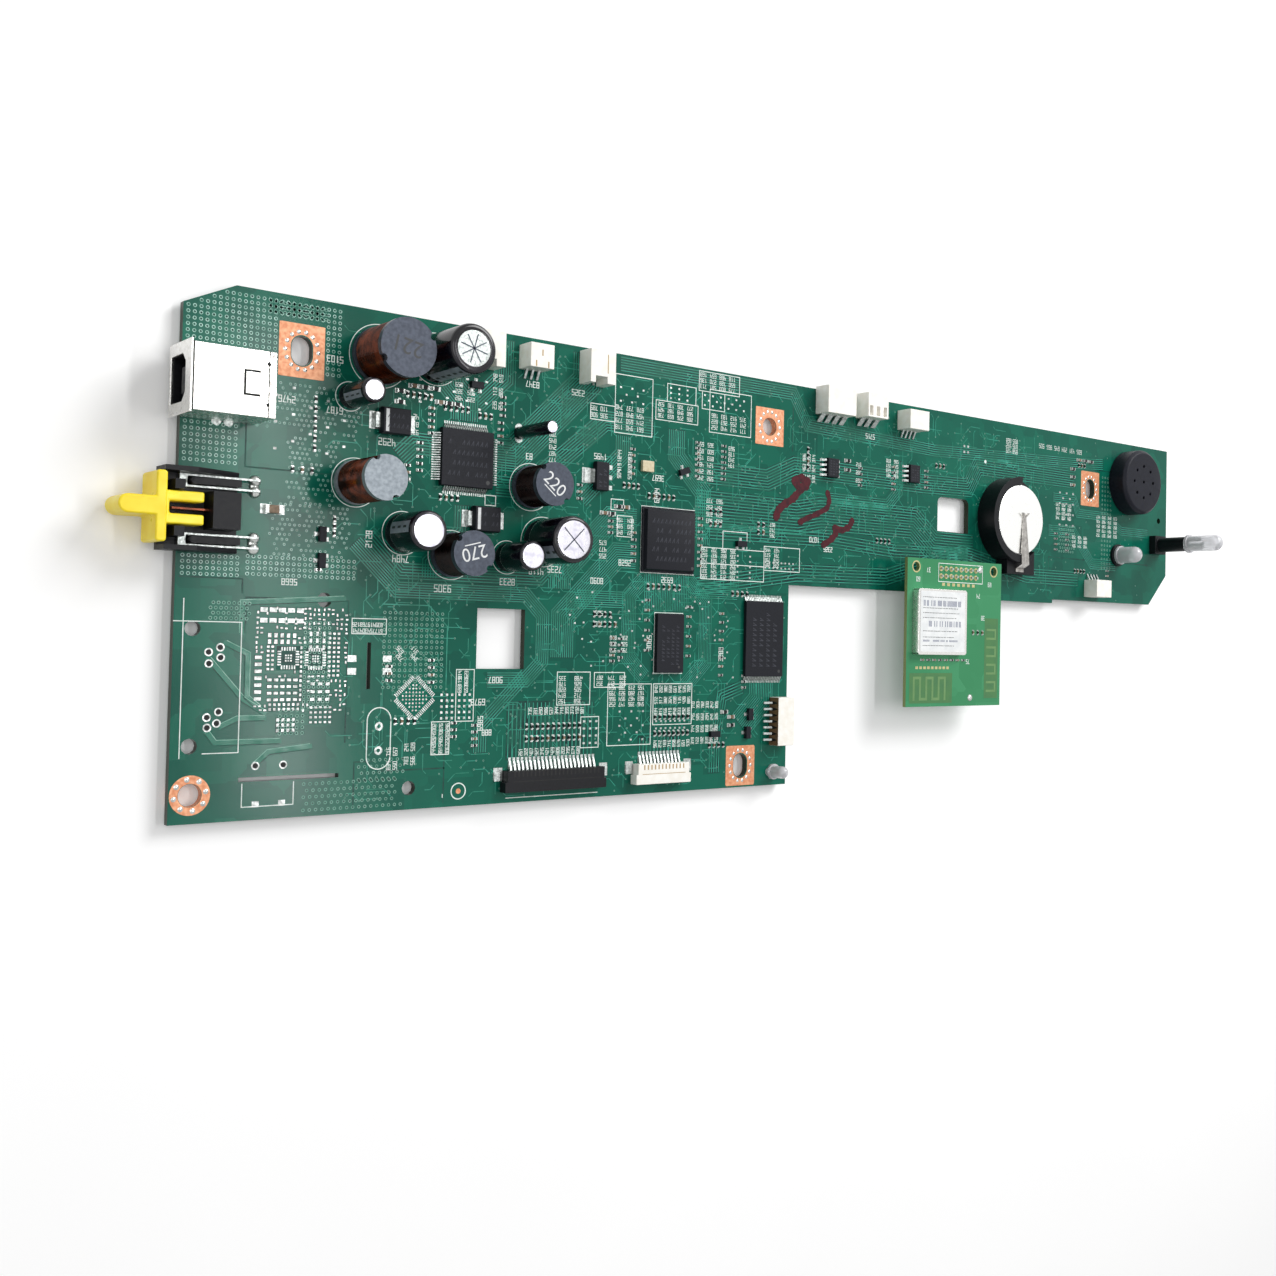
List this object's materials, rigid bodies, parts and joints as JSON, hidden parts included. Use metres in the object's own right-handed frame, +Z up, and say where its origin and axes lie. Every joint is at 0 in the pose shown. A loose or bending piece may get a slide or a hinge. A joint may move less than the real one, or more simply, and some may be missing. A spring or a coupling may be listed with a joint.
{
  "type": "printer controller board",
  "caption": "L-shaped green controller board of a desktop printer with port, power inlet, coils, capacitors, chips, cell holder, sounder, lamps and a raised radio module.",
  "frame": {"origin": "axis of the corner mounting hole, on the board's underside", "axes": "+X along the board, away from the power inlet; +Y towards the long straight back edge; +Z up, out of the board's component side"},
  "size_m": [0.3224, 0.1002, 0.0272],
  "materials": {
    "solder_mask_green": "glossy solder mask",
    "module_green": "glossy solder mask",
    "plated_steel": "satin",
    "cell_steel": "satin",
    "black_plastic": "moulded",
    "sounder_black": "smooth",
    "yellow_plastic": "moulded",
    "white_plastic": "moulded",
    "tinned_metal": "tinned",
    "ferrite": "pressed and ground",
    "copper_wire": "enamelled",
    "can_sleeve": "shrunk sleeve with a bare metal top",
    "chip_black": "moulded",
    "clear_lens": "clear",
    "ceramic": "fired"
  },
  "bodies": {
    "root": {"capacitor_1": "can_sleeve", "capacitor_2": "can_sleeve", "capacitor_3": "can_sleeve", "capacitor_4": "can_sleeve", "capacitor_5": "can_sleeve", "cell_clip": "plated_steel", "cell_holder": "black_plastic", "chip_parts": "ceramic", "choke_cores": "ferrite", "choke_windings": "copper_wire", "coin_cell": "cell_steel", "diode_bodies": "chip_black", "diode_tabs": "tinned_metal", "flash_chip_body": "chip_black", "flash_chip_leads": "tinned_metal", "header_contacts": "tinned_metal", "inlet_contacts": "tinned_metal", "inlet_housing": "black_plastic", "inlet_key": "yellow_plastic", "lamp_lenses": "clear_lens", "lamp_spacer": "black_plastic", "main_board": "solder_mask_green", "memory_chip": "chip_black", "motor_driver_body": "chip_black", "motor_driver_leads": "tinned_metal", "oscillator": "ceramic", "processor_chip": "chip_black", "radio_board": "module_green", "radio_header": "black_plastic", "radio_pins": "tinned_metal", "radio_shield": "plated_steel", "radio_socket": "black_plastic", "regulator_body": "chip_black", "regulator_leads": "tinned_metal", "ribbon_contacts": "tinned_metal", "ribbon_socket_1": "black_plastic", "ribbon_socket_2": "white_plastic", "sensor_base": "black_plastic", "slim_capacitor": "can_sleeve", "small_chip_bodies": "chip_black", "small_chip_leads": "tinned_metal", "sounder": "sounder_black", "transistors": "chip_black", "usb_contacts": "tinned_metal", "usb_insulator": "black_plastic", "usb_shell": "plated_steel", "wide_header_3_way": "white_plastic", "wide_header_4_way": "white_plastic", "wire_header_3_way": "white_plastic", "wire_header_7_way": "white_plastic", "wire_headers_2_way": "white_plastic", "wire_headers_4_way": "white_plastic"}
  },
  "joints": []
}
